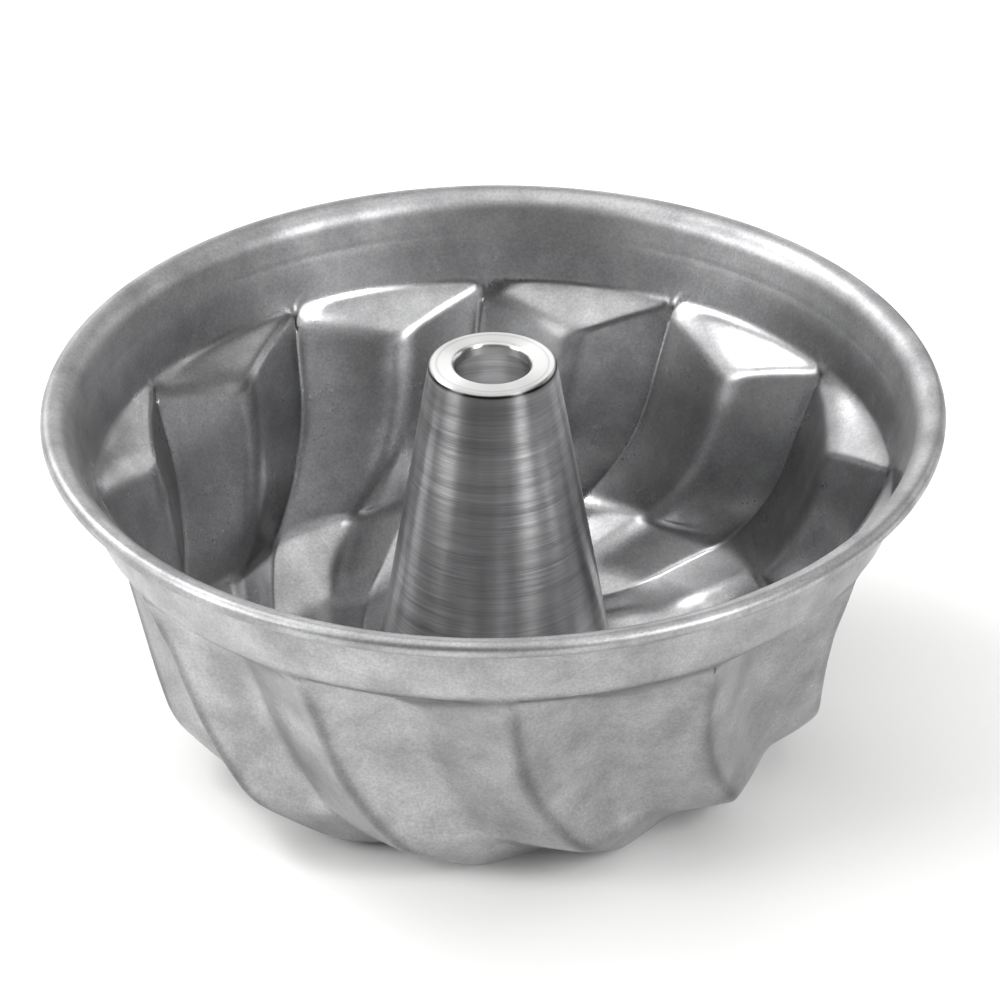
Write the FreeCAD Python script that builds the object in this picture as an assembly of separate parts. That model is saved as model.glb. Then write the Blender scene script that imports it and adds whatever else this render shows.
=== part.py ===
import FreeCAD, Part
import math
import os

from FreeCAD import Vector

os.makedirs("parts", exist_ok=True)

# A fluted ring cake pan of pressed aluminium sheet. The shell has a smooth collar, twelve
# leaning flutes and a rolled rim with a steel wire in it. A spun cone stands in the middle,
# its foot folded tight round the hole in the shell's floor.
# Millimetres and degrees. +Z is up, and the pan stands on the origin. Radii are measured
# from its axis. "Drop" is a distance below the rim line, the level of the rim wire's centre.

# Overall sizes
rim_diameter = 230.0  # outside, over the rolled rim
pan_depth = 94.6  # rim line to the middle of the sheet at the floor's lowest ring
shell_sheet = 1.0
tube_sheet = 1.0

# Rolled rim
wire_radius = 1.3
flare_radius = 6.0  # bend from the collar out over the wire, at the middle of the sheet
curl_sweep = 265.0  # how far the edge is rolled round the wire

# Section through a groove, the outermost line of a flute, at the middle of the sheet.
# Insets are measured inward from the rim's outside radius.
collar_depth = 21.5
collar_foot_inset = 12.6
collar_slope = 0.276  # inset gained for each millimetre of drop
wall_knee_drop = 19.5  # below the collar's foot
wall_knee_inset = 6.8  # further in than the collar's foot
wall_foot_rise = 15.1  # above the floor's lowest ring
wall_foot_inset = 29.1
heel_rise = 1.0
heel_inset = 45.5
floor_share = 0.4  # place of the lowest ring, from the tube's seat to the heel
seat_rise = 3.0
collar_foot_round = 25.0
wall_knee_round = 80.0
wall_foot_round = 11.0
heel_round = 20.0
floor_round = 40.0
seat_round = 5.0

# Flutes
flute_count = 12
first_groove = 91.5  # direction of one groove's top
ridge_share = 0.455  # where the ridge lies between two grooves
wall_relief = 8.5  # height of a ridge above the grooves, square to the sheet
floor_relief = 4.4
seat_relief = 2.6
relief_blend = 18.0  # along the section, each side of the wall's foot
relief_fade = 8.5  # width of the ring round the seat where the flutes run out
shoulder_run = 11.5  # along the section, from the collar's foot to a ridge's top
shoulder_round = 2.0
crisp_crease = 0.12  # share of the relief over which the shoulder turns into a flank
soft_crease = 0.4  # the same on the ridge's other side
crease_change = 0.2  # share of a pitch over which one becomes the other
groove_half_width = 1.5  # of the rounding along a groove
ridge_half_width = 5.0
widest_rounding = 0.16  # the most of a pitch that half a rounding may take
wall_lean = 0.12  # tangent of a groove's lean from straight down
floor_lean = 0.90
lean_start = 18.0  # along the section, below the collar's foot
lean_end = 10.0  # along the section, past the wall's foot

# Tube
tube_rise = 13.0  # top of the tube above the rim line
tube_top_radius = 16.28  # outside, where the cone would meet the top's plane
tube_slope = 0.165  # radius gained for each millimetre down
tube_hole_radius = 9.8
lip_depth = 3.0  # height of the edge turned down into the hole
lip_bend = 0.6  # bends are at the middle of the sheet
top_bend = 0.7
foot_bend = 1.6
throat_bend = 0.6
fold_gap = 0.1  # between the two layers of the fold that rests on the floor
fold_reach = 2.4  # width of that fold beyond the throat
flange_reach = 3.5  # width of the flange under the floor
throat_slack = 0.15  # between the throat and the hole in the floor
seat_margin = 1.1  # flat floor beyond the flange

# Fineness of the fluted skins
columns_per_flute = 30
row_spacing = 2.0
collar_lap = 6.0  # collar made with the flutes, above its foot
lean_steps = 800
probe_step = 1e-4  # for the direction of the sheet's surface
shortest_line = 1e-6
sewing_tolerance = 1e-4

# Sizes that follow
rim_radius = rim_diameter / 2
pitch = 2 * math.pi / flute_count
curl_radius = wire_radius + shell_sheet / 2
curl_centre_radius = rim_radius - curl_radius - shell_sheet / 2
rim_level = pan_depth + shell_sheet / 2
seat_level = shell_sheet / 2 + seat_rise
tube_top = rim_level + tube_rise
fold_radius = (tube_sheet + fold_gap) / 2
lower_layer = seat_level + (shell_sheet + tube_sheet) / 2
upper_layer = lower_layer + 2 * fold_radius
flange_level = seat_level - (shell_sheet + tube_sheet) / 2
top_level = tube_top - tube_sheet / 2
cone_lean = math.hypot(1, tube_slope)
cone_top_radius = tube_top_radius + (tube_sheet / 2) * (tube_slope - cone_lean)
throat_radius = cone_top_radius + tube_slope * (top_level - upper_layer)
floor_hole_radius = throat_radius + tube_sheet / 2 + throat_slack
flange_radius = throat_radius + flange_reach
seat_radius = flange_radius + seat_margin


def rounded_path(corners):
    """Lines and arcs through corners given as (radius, height, bend radius)."""
    pieces = []
    start = corners[0][:2]
    for before, corner, after in zip(corners, corners[1:], corners[2:]):
        back = unit(corner, before)
        ahead = unit(corner, after)
        half = math.acos(back[0] * ahead[0] + back[1] * ahead[1]) / 2
        bend = corner[2]
        reach = bend / math.tan(half)
        arc_start = shifted(corner, back, reach)
        arc_end = shifted(corner, ahead, reach)
        middle = unit((0, 0), (back[0] + ahead[0], back[1] + ahead[1]))
        centre = shifted(corner, middle, bend / math.sin(half))
        add_line(pieces, start, arc_start)
        add_arc(pieces, centre, bend, direction(centre, arc_start), direction(centre, arc_end))
        start = arc_end
    add_line(pieces, start, corners[-1][:2])
    return pieces


def unit(start, end):
    length = math.hypot(end[0] - start[0], end[1] - start[1])
    return ((end[0] - start[0]) / length, (end[1] - start[1]) / length)


def shifted(point, way, distance):
    return (point[0] + way[0] * distance, point[1] + way[1] * distance)


def direction(start, end):
    return math.atan2(end[1] - start[1], end[0] - start[0])


def add_line(pieces, start, end):
    length = math.hypot(end[0] - start[0], end[1] - start[1])
    if length > shortest_line:
        pieces.append(("line", start, unit(start, end), length))


def add_arc(pieces, centre, radius, start_angle, end_angle):
    """An arc the short way round."""
    sweep = (end_angle - start_angle + math.pi) % (2 * math.pi) - math.pi
    pieces.append(("arc", centre, radius, start_angle, sweep))


def piece_length(piece):
    if piece[0] == "line":
        return piece[3]
    return piece[2] * abs(piece[4])


def path_length(path):
    return sum(piece_length(piece) for piece in path)


def place_on(path, distance):
    """Point and left-hand normal at a distance along the path."""
    for piece in path:
        if distance <= piece_length(piece) or piece is path[-1]:
            break
        distance -= piece_length(piece)
    if piece[0] == "line":
        way = piece[2]
        point = shifted(piece[1], way, distance)
    else:
        turn = math.copysign(1, piece[4])
        angle = piece[3] + turn * distance / piece[2]
        point = shifted(piece[1], (math.cos(angle), math.sin(angle)), piece[2])
        way = (-turn * math.sin(angle), turn * math.cos(angle))
    return point, (-way[1], way[0])


def at_section(radius, height):
    return Vector(radius, 0, height)


def offset_edges(path, offset):
    """Edges of one face of the sheet, an offset to the left of its middle line."""
    edges = []
    for piece in path:
        if piece[0] == "line":
            normal = (-piece[2][1], piece[2][0])
            start = shifted(piece[1], normal, offset)
            end = shifted(start, piece[2], piece[3])
            edges.append(Part.makeLine(at_section(*start), at_section(*end)))
        else:
            radius = piece[2] - math.copysign(offset, offset * piece[4])
            points = []
            for share in (0, 0.5, 1):
                angle = piece[3] + piece[4] * share
                points.append(at_section(*shifted(piece[1], (math.cos(angle), math.sin(angle)), radius)))
            edges.append(Part.Arc(*points).toShape())
    return edges


def end_edge(path, distance, thickness):
    """The sheet's cut edge across the end of a path."""
    point, normal = place_on(path, distance)
    left = shifted(point, normal, thickness / 2)
    right = shifted(point, normal, -thickness / 2)
    return Part.makeLine(at_section(*left), at_section(*right))


def turned(edges, angle):
    """Faces swept by the edges once round the axis, with their seam at an angle."""
    section = Part.Wire(Part.sortEdges(edges)[0])
    section.rotate(Vector(0, 0, 0), Vector(0, 0, 1), math.degrees(angle))
    return section.revolve(Vector(0, 0, 0), Vector(0, 0, 1), 360).Faces


# The groove's section, from the collar down and in to the hole in the floor
def groove_corners():
    foot_radius = rim_radius - collar_foot_inset
    foot_height = rim_level - collar_depth
    lap_drop = collar_lap / math.hypot(1, collar_slope)
    heel_radius = rim_radius - heel_inset
    lowest = shell_sheet / 2
    return [
        (foot_radius + collar_slope * lap_drop, foot_height + lap_drop, 0),
        (foot_radius, foot_height, collar_foot_round),
        (foot_radius - wall_knee_inset, foot_height - wall_knee_drop, wall_knee_round),
        (rim_radius - wall_foot_inset, lowest + wall_foot_rise, wall_foot_round),
        (heel_radius, lowest + heel_rise, heel_round),
        (seat_radius + floor_share * (heel_radius - seat_radius), lowest, floor_round),
        (seat_radius + seat_round / 2, seat_level, seat_round),
        (floor_hole_radius, seat_level, 0),
    ]


def corner_distances(corners):
    total = 0
    distances = [total]
    for before, after in zip(corners, corners[1:]):
        total += math.hypot(after[0] - before[0], after[1] - before[1])
        distances.append(total)
    return distances


groove = rounded_path(groove_corners())
groove_length = path_length(groove)
wall_foot_place = corner_distances(groove_corners())[3]


def eased(share):
    share = min(max(share, 0), 1)
    return share * share * (3 - 2 * share)


def lean_table():
    """Angle that a groove has turned through, at even steps along the section."""
    angles = [0.0]
    start = collar_lap + lean_start
    step = groove_length / lean_steps
    for index in range(lean_steps):
        distance = (index + 0.5) * step
        share = (distance - start) / (wall_foot_place + lean_end - start)
        lean = wall_lean + (floor_lean - wall_lean) * eased(share)
        if distance < collar_lap:
            lean = 0
        radius = place_on(groove, distance)[0][0]
        angles.append(angles[-1] + lean * step / radius)
    return angles


lean_angles = lean_table()


def groove_turn(distance):
    place = min(max(distance / groove_length, 0), 1) * lean_steps
    index = min(int(place), lean_steps - 1)
    return lean_angles[index] + (lean_angles[index + 1] - lean_angles[index]) * (place - index)


def relief(distance, radius):
    """Height of a ridge above the grooves beside it."""
    bend_start = wall_foot_place - relief_blend
    bend_end = wall_foot_place + relief_blend
    if distance < bend_end:
        share = eased((distance - bend_start) / (2 * relief_blend))
        height = wall_relief + (floor_relief - wall_relief) * share
    else:
        share = (distance - bend_end) / (groove_length - bend_end)
        height = floor_relief + (seat_relief - floor_relief) * share
    return height * eased((radius - seat_radius) / relief_fade)


def wave(share, radius):
    """0 in a groove and 1 on a ridge, straight between them, with rounded creases."""
    mm = flute_count / (2 * math.pi * radius)
    groove_half = min(groove_half_width * mm, widest_rounding)
    ridge_half = min(ridge_half_width * mm, widest_rounding)
    rise = 1 / ridge_share
    fall = 1 / (1 - ridge_share)
    past_groove = share if share < 0.5 else share - 1
    if abs(past_groove) < groove_half:
        rounded = rise * (past_groove + groove_half) ** 2 + fall * (groove_half - past_groove) ** 2
        return rounded / (4 * groove_half)
    past_ridge = share - ridge_share
    if abs(past_ridge) < ridge_half:
        rounded = rise * (ridge_half - past_ridge) ** 2 + fall * (past_ridge + ridge_half) ** 2
        return 1 - rounded / (4 * ridge_half)
    return share * rise if past_ridge < 0 else (1 - share) * fall


def shoulder(distance):
    """Share of the relief that the sloping shoulder under the collar allows."""
    down = distance - collar_lap
    if down <= -shoulder_round:
        return 0
    if down < shoulder_round:
        return (down + shoulder_round) ** 2 / (4 * shoulder_round * shoulder_run)
    return down / shoulder_run


def crease_width(share):
    return crisp_crease + (soft_crease - crisp_crease) * eased((share - ridge_share) / crease_change + 0.5)


def softer_of(one, other, crease):
    """The smaller of two values, with the crease between them rounded."""
    width = min(crease, one + other)
    if width <= 0:
        return min(one, other)
    overlap = max(width - abs(one - other), 0) / width
    return min(one, other) - overlap * overlap * width / 4


def sheet_middle(flutes, distance):
    """Point on the middle of the sheet: pitches round from the first groove, and distance
    along the groove's section."""
    point, normal = place_on(groove, distance)
    share = flutes % 1.0
    height = softer_of(wave(share, point[0]), shoulder(distance), crease_width(share))
    height *= relief(distance, point[0])
    radius, level = shifted(point, normal, -height)
    angle = math.radians(first_groove) + groove_turn(distance) + pitch * flutes
    return Vector(radius * math.cos(angle), radius * math.sin(angle), level)


def sheet_face(flutes, distance, offset):
    """Point on a face of the sheet, offset towards the inside of the pan."""
    low = max(distance - probe_step, 0)
    high = min(distance + probe_step, groove_length)
    along = sheet_middle(flutes, high) - sheet_middle(flutes, low)
    around = sheet_middle(flutes + probe_step, distance) - sheet_middle(flutes - probe_step, distance)
    normal = around.cross(along)
    normal.normalize()
    return sheet_middle(flutes, distance) + normal * offset


def fluted_skin(offset):
    """One face of the sheet from the collar to the floor's hole, closed round the axis."""
    columns = flute_count * columns_per_flute
    spans = round(groove_length / row_spacing)
    places = [0, 1 / 3] + list(range(1, spans)) + [spans - 1 / 3, spans]
    rows = []
    for place in places:
        distance = groove_length * place / spans
        ring = [sheet_face(index / columns_per_flute, distance, offset) for index in range(columns)]
        row = []
        for index, point in enumerate(ring):
            bow = ring[index - 1] + ring[(index + 1) % columns] - point * 2
            row.append(point - bow / 6)
        rows.append(row)
    poles = [list(column) for column in zip(*rows)]
    poles = poles[-1:] + poles[:-1]  # brings the seam to the first groove
    surface = Part.BSplineSurface()
    surface.buildFromPolesMultsKnots(
        poles,
        [1] * (columns + 1),
        [4] + [1] * (spans - 1) + [4],
        list(range(columns + 1)),
        list(range(spans + 1)),
        True,
        False,
        3,
        3,
    )
    return surface.toShape()


def rim_path():
    """Middle of the sheet from the collar's lap up, out and round the rim wire."""
    lean = math.hypot(1, collar_slope)
    up = (collar_slope / lean, 1 / lean)
    out = (up[1], -up[0])
    start = groove_corners()[0][:2]
    curl_centre = (curl_centre_radius, rim_level)
    bend_reach = flare_radius - curl_radius
    side = shifted(start, out, flare_radius)
    aside = (side[0] - curl_centre[0], side[1] - curl_centre[1])
    along = aside[0] * up[0] + aside[1] * up[1]
    rise = -along - math.sqrt(along ** 2 - aside[0] ** 2 - aside[1] ** 2 + bend_reach ** 2)
    flare_start = shifted(start, up, rise)
    flare_centre = shifted(flare_start, out, flare_radius)
    curl_start = direction(flare_centre, curl_centre)
    path = []
    add_line(path, start, flare_start)
    add_arc(path, flare_centre, flare_radius, direction(flare_centre, flare_start), curl_start)
    path.append(("arc", curl_centre, curl_radius, curl_start, -math.radians(curl_sweep)))
    return path


def rim_edges():
    """Both faces of the sheet along the rim, and its cut edge inside the curl."""
    path = rim_path()
    edges = offset_edges(path, shell_sheet / 2)
    edges.append(end_edge(path, path_length(path), shell_sheet))
    return edges + offset_edges(path, -shell_sheet / 2)


def make_fluted_shell():
    seam = math.radians(first_groove)
    hole_edge = end_edge(groove, groove_length, shell_sheet)
    faces = turned(rim_edges(), seam)
    faces += turned([hole_edge], seam + groove_turn(groove_length))
    faces += fluted_skin(shell_sheet / 2).Faces
    faces += fluted_skin(-shell_sheet / 2).Faces
    sewn = Part.makeCompound(faces)
    sewn.sewShape(sewing_tolerance)
    shell = Part.makeSolid(sewn.Shells[0])
    if shell.Volume < 0:
        shell.reverse()
    return shell


def tube_path():
    """Middle of the sheet from the hole's lip, over the top and down to the flange."""
    lip_radius = tube_hole_radius + tube_sheet / 2
    fold_edge = throat_radius + fold_reach
    return rounded_path([
        (lip_radius, tube_top - lip_depth, 0),
        (lip_radius, top_level, lip_bend),
        (cone_top_radius, top_level, top_bend),
        (throat_radius, upper_layer, foot_bend),
        (fold_edge, upper_layer, fold_radius),
        (fold_edge, lower_layer, fold_radius),
        (throat_radius, lower_layer, throat_bend),
        (throat_radius, flange_level, throat_bend),
        (flange_radius, flange_level, 0),
    ])


def make_centre_tube():
    path = tube_path()
    edges = offset_edges(path, tube_sheet / 2)
    edges.append(end_edge(path, path_length(path), tube_sheet))
    edges += offset_edges(path, -tube_sheet / 2)
    edges.append(end_edge(path, 0, tube_sheet))
    section = Part.Face(Part.Wire(Part.sortEdges(edges)[0]))
    return section.revolve(Vector(0, 0, 0), Vector(0, 0, 1), 360)


def make_rim_wire():
    return Part.makeTorus(curl_centre_radius, wire_radius, Vector(0, 0, rim_level))


def standing_level():
    """Level of the lowest line of the grooves' outer face, before the pan is set down."""
    steps = round(groove_length / row_spacing)
    places = [groove_length * step / steps for step in range(steps + 1)]
    return min(sheet_face(0, place, -shell_sheet / 2).z for place in places)


def export(name, shape):
    shape.translate(Vector(0, 0, -standing_level()))
    shape.exportStep(f"parts/{name}.step")


export("fluted_shell", make_fluted_shell())
export("centre_tube", make_centre_tube())
export("rim_wire", make_rim_wire())
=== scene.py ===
import math

import bpy
import numpy as np
from bpy.props import FloatProperty, FloatVectorProperty, IntProperty, PointerProperty
from mathutils import Matrix, Vector


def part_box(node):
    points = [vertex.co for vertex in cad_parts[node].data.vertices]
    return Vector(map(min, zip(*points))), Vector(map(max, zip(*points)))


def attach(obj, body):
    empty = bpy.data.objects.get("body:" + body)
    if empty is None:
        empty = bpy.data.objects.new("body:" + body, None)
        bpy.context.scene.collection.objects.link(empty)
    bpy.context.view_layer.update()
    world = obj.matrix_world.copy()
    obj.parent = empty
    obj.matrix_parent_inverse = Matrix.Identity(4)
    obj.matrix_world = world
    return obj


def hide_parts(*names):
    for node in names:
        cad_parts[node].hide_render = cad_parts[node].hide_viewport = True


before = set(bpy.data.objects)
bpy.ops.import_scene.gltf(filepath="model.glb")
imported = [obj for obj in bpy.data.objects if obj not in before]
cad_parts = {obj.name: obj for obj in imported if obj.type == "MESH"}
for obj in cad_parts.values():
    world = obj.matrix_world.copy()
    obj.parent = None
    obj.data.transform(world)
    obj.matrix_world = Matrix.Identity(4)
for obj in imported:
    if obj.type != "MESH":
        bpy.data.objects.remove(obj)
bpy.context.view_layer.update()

bl_info = {
    "name": "Fluted Ring Cake Pan",
    "version": (1, 0, 0),
    "blender": (4, 5, 0),
    "location": "3D View > Sidebar > Cake Pan",
    "description": "Makes a pressed and spun aluminium ring cake pan round its design model",
    "category": "Add Mesh",
}

# Metres and radians, in the design's own frame: +Z is up and the pan stands on the origin.
# Radii are measured from the pan's axis. A place on the shell's sheet is a distance down it
# from the start of the flutes' section, a lap above the collar's foot, and is negative above.
MM = 0.001
WIRE_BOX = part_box("rim_wire")
RIM_LINE = (WIRE_BOX[0].z + WIRE_BOX[1].z) / 2
SHELL_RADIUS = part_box("fluted_shell")[1].x
TUBE_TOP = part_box("centre_tube")[1].z

# Section of the shell
COLLAR_LAP = 6 * MM
COLLAR_DEPTH = 21.5 * MM
COLLAR_FOOT_INSET = 12.6 * MM
COLLAR_SLOPE = 0.276
FLARE_RADIUS = 6 * MM
CURL_SWEEP = math.radians(265)
WALL_KNEE_DROP = 19.5 * MM
WALL_KNEE_INSET = 6.8 * MM
WALL_FOOT_DROP = 79.5 * MM
WALL_FOOT_INSET = 29.1 * MM
HEEL_DROP = 93.6 * MM
HEEL_INSET = 45.5 * MM
FLOOR_DROP = 94.6 * MM
FLOOR_SHARE = 0.4
SEAT_DROP = 91.6 * MM
SECTION_ROUNDS = [value * MM for value in (25, 80, 11, 20, 40, 5)]

# Flutes
FIRST_GROOVE = math.radians(91.5)
RIDGE_SHARE = 0.455  # where the ridge lies between two grooves
FLOOR_RELIEF = 4.4 * MM
SEAT_RELIEF = 2.6 * MM
RELIEF_BLEND = 18 * MM
RELIEF_FADE = 8.5 * MM
SHOULDER_RUN = 11.5 * MM
SHOULDER_ROUND = 2.0 * MM
CRISP_CREASE = 0.12  # share of the relief over which the shoulder turns into a flank
SOFT_CREASE = 0.4
CREASE_CHANGE = 0.2  # share of a pitch over which the crisp crease turns soft
GROOVE_HALF_WIDTH = 1.5 * MM
RIDGE_HALF_WIDTH = 5.0 * MM
WIDEST_ROUNDING = 0.16
LEAN_START = 18 * MM
LEAN_END = 10 * MM
LEAN_STEPS = 1600

# Marks that pressing leaves in the sheet, and painted shade along the grooves and under the collar
PUCKER_HEIGHT = 0.16 * MM
PUCKER_RUN = 6.5 * MM
PUCKER_SPREAD = 3.8 * MM
PUCKER_FLARE = 1.6  # power by which the two branches curve apart
PUCKER_WIDTH = 0.55 * MM
PUCKER_STARTS = 0.25  # share of its run over which a pucker rises
PUCKER_ENDS = 0.4  # share over which it fades out
DRAW_LINE_PLACE = -7.3 * MM
DRAW_LINE_HEIGHT = 0.07 * MM
DRAW_LINE_WIDTH = 0.45 * MM
GROOVE_BEAD_HEIGHT = 0.32 * MM
GROOVE_BEAD_WIDTH = 1.1 * MM
# Painted shade beside the grooves and under the collar's foot, darkening the sheet's colour
SHADE_ASIDE = 0.9 * MM
SHADE_WIDTH = 1.7 * MM
INNER_SHADE = 0.5  # share of the outside's painted shade that is painted inside the pan too
MATT_START = 1 * MM  # up the collar, where drawing leaves it matter than the flutes
MATT_FADE = 9 * MM
DENT_SIZES = [31 * MM, 19 * MM, 12 * MM]
DENT_WAVES = 5  # for each size
DENT_SEED = 7

# Tube and its joint with the floor
LIP_BEND = 0.6 * MM
TOP_BEND = 0.7 * MM
FOOT_BEND = 1.6 * MM
THROAT_BEND = 0.6 * MM
FOLD_GAP = 0.1 * MM
FOLD_REACH = 2.4 * MM
FLANGE_REACH = 3.5 * MM
THROAT_SLACK = 0.15 * MM
SEAT_MARGIN = 1.1 * MM
ROLLER_WAVE_HEIGHT = 0.012 * MM
ROLLER_WAVES = [(3.7 * MM, 0.9), (2.3 * MM, 0.7), (1.3 * MM, 0.4)]

WAVE_FADE = 5 * MM
FACED_FADE = 0.5 * MM
# Painted shade line round the bend at the top's edge; a fainter dark line lies inside it on the flat top
EDGE_SHADE_WIDTH = 0.34 * MM
INNER_LINE_PLACE = 2.1 * MM  # from the top of the cone towards the hole
INNER_LINE_STRENGTH = 0.5

# Fineness of the meshes
COLUMNS_PER_FLUTE = 36
GROOVE_COLUMN_PULL = 2.2
RIDGE_COLUMN_PULL = 0.8
COLUMN_PULL_WIDTH = 0.05
COLUMN_SAMPLES = 1001
SHELL_ROW = 0.8 * MM
TUBE_ROW = 0.5 * MM
TUBE_COLUMNS = 160
ARC_STEP = math.radians(9)
SHARP_ANGLE = math.radians(50)
PROBE = 0.001 * MM
PROBE_SHARE = 1e-5


def linear(code):
    """Linear colour of an sRGB hex value."""
    values = [int(code[start:start + 2], 16) / 255 for start in (0, 2, 4)]
    return tuple(v / 12.92 if v <= 0.04045 else ((v + 0.055) / 1.055) ** 2.4 for v in values)


class CakePanShell(bpy.types.PropertyGroup):
    rim_radius: FloatProperty(
        name="Rim radius", description="Outside radius over the rolled rim",
        default=SHELL_RADIUS, unit="LENGTH")
    sheet: FloatProperty(
        name="Sheet", description="Thickness of the pressed sheet", default=1 * MM, unit="LENGTH")
    wire_radius: FloatProperty(
        name="Wire radius", description="Radius of the wire in the rim",
        default=(WIRE_BOX[1].z - WIRE_BOX[0].z) / 2, unit="LENGTH")
    flutes: IntProperty(name="Flutes", description="Number of flutes round the pan", default=12, min=3)
    relief: FloatProperty(
        name="Relief", description="Height of a ridge above the grooves on the wall",
        default=8.5 * MM, unit="LENGTH")
    wall_lean: FloatProperty(
        name="Wall lean", description="Tangent of a groove's lean on the wall", default=0.12)
    floor_lean: FloatProperty(
        name="Floor lean", description="Tangent of a groove's lean on the floor", default=0.90)
    dents: FloatProperty(
        name="Dents", description="Depth of the soft dents left by pressing",
        default=0.10 * MM, unit="LENGTH")


class CakePanTube(bpy.types.PropertyGroup):
    top: FloatProperty(name="Top", description="Height of the tube's top", default=TUBE_TOP, unit="LENGTH")
    top_radius: FloatProperty(
        name="Top radius", description="Where the cone would meet the top",
        default=16.28 * MM, unit="LENGTH")
    slope: FloatProperty(name="Slope", description="Radius gained for each unit of drop", default=0.165)
    hole_radius: FloatProperty(
        name="Hole radius", description="Radius of the hole in the top", default=9.8 * MM, unit="LENGTH")
    lip_depth: FloatProperty(
        name="Lip depth", description="Height of the edge turned down into the hole",
        default=3 * MM, unit="LENGTH")
    sheet: FloatProperty(
        name="Sheet", description="Thickness of the spun sheet", default=1 * MM, unit="LENGTH")


class CakePanFinish(bpy.types.PropertyGroup):
    pressed: FloatVectorProperty(
        name="Pressed sheet", description="Colour of the pressed aluminium",
        default=linear("b2b2b3"), size=3, subtype="COLOR")
    pressed_stain: FloatVectorProperty(
        name="Pressed stain", description="Colour where the pressed sheet is duller",
        default=linear("949495"), size=3, subtype="COLOR")
    spun: FloatVectorProperty(
        name="Spun sheet", description="Colour of the spun aluminium",
        default=linear("c4c4c5"), size=3, subtype="COLOR")
    spun_stain: FloatVectorProperty(
        name="Spun stain", description="Colour of the darker bands in the spun sheet",
        default=linear("8c8c8d"), size=3, subtype="COLOR")
    # The faced top's colour is lighter than the cone's as a painted highlight
    faced_highlight: FloatVectorProperty(
        name="Faced top", description="Colour of the polished ring on top of the tube",
        default=linear("d2d2d1"), size=3, subtype="COLOR")
    dirt: FloatVectorProperty(
        name="Dirt", description="Colour of the specks in the pressed sheet's pits",
        default=linear("6c6c6e"), size=3, subtype="COLOR")
    # The dark line round the tube's top is painted shade at the bend
    edge_shade_line: FloatVectorProperty(
        name="Edge line", description="Colour of the dark line round the tube's top",
        default=linear("1e1e1f"), size=3, subtype="COLOR")
    wire: FloatVectorProperty(
        name="Wire", description="Colour of the zinc on the rim wire",
        default=linear("9b9b9d"), size=3, subtype="COLOR")
    pressed_roughness: FloatProperty(
        name="Pressed roughness", description="Roughness of the pressed sheet",
        default=0.30, subtype="FACTOR")
    spun_roughness: FloatProperty(
        name="Spun roughness", description="Roughness of the spun sheet", default=0.30, subtype="FACTOR")


class CakePanStage(bpy.types.PropertyGroup):
    floor: FloatVectorProperty(
        name="Floor", description="Colour of the floor", default=linear("f4f4f3"), size=3, subtype="COLOR")
    surround: FloatVectorProperty(
        name="Surround", description="Colour of the room round the stage",
        default=linear("3c3c3d"), size=3, subtype="COLOR")
    elevation: FloatProperty(
        name="Elevation", description="Camera's angle above the horizon",
        default=math.radians(31.673), subtype="ANGLE")
    roll: FloatProperty(
        name="Roll", description="Camera's turn about its own axis",
        default=math.radians(-0.506), subtype="ANGLE")
    distance: FloatProperty(
        name="Distance", description="From the camera to the rim's centre", default=1.530226, unit="LENGTH")
    aside: FloatProperty(
        name="Aside", description="Camera's shift to its right", default=1.578 * MM, unit="LENGTH")
    above: FloatProperty(
        name="Above", description="Camera's shift upward", default=-23.63 * MM, unit="LENGTH")
    lens: FloatProperty(name="Lens", description="Focal length in millimetres", default=216.69)


# ---- Sections as lines and arcs, each point a (radius, height)

def unit(start, end):
    length = math.hypot(end[0] - start[0], end[1] - start[1])
    return ((end[0] - start[0]) / length, (end[1] - start[1]) / length)


def shifted(point, way, distance):
    return (point[0] + way[0] * distance, point[1] + way[1] * distance)


def direction(start, end):
    return math.atan2(end[1] - start[1], end[0] - start[0])


def line_piece(start, end):
    return ("line", start, unit(start, end), math.dist(start, end))


def arc_piece(centre, radius, start_angle, end_angle):
    """An arc the short way round."""
    sweep = (end_angle - start_angle + math.pi) % (2 * math.pi) - math.pi
    return ("arc", centre, radius, start_angle, sweep)


def piece_length(piece):
    return piece[3] if piece[0] == "line" else piece[2] * abs(piece[4])


def path_length(path):
    return sum(piece_length(piece) for piece in path)


def rounded_path(corners):
    """Lines and arcs through corners given as (radius, height, bend radius)."""
    path = []
    start = corners[0][:2]
    for before, corner, after in zip(corners, corners[1:], corners[2:]):
        back = unit(corner, before)
        ahead = unit(corner, after)
        half = math.acos(back[0] * ahead[0] + back[1] * ahead[1]) / 2
        reach = corner[2] / math.tan(half)
        arc_start = shifted(corner, back, reach)
        arc_end = shifted(corner, ahead, reach)
        middle = unit((0, 0), (back[0] + ahead[0], back[1] + ahead[1]))
        centre = shifted(corner, middle, corner[2] / math.sin(half))
        if math.dist(start, arc_start) > PROBE:
            path.append(line_piece(start, arc_start))
        path.append(arc_piece(centre, corner[2], direction(centre, arc_start), direction(centre, arc_end)))
        start = arc_end
    if math.dist(start, corners[-1][:2]) > PROBE:
        path.append(line_piece(start, corners[-1][:2]))
    return path


def along_path(path, distances):
    """Radii, heights and left-hand normals at distances along the path."""
    radius = np.zeros_like(distances)
    height = np.zeros_like(distances)
    normal = np.zeros((2,) + distances.shape)
    begun = 0.0
    for piece in path:
        here = distances >= begun
        local = distances[here] - begun
        if piece[0] == "line":
            (x, y), way = piece[1], piece[2]
            radius[here] = x + way[0] * local
            height[here] = y + way[1] * local
            normal[:, here] = np.array([[-way[1]], [way[0]]])
        else:
            turn = math.copysign(1, piece[4])
            angle = piece[3] + turn * local / piece[2]
            radius[here] = piece[1][0] + piece[2] * np.cos(angle)
            height[here] = piece[1][1] + piece[2] * np.sin(angle)
            normal[:, here] = -turn * np.array([np.cos(angle), np.sin(angle)])
        begun += piece_length(piece)
    return radius, height, normal


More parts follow.
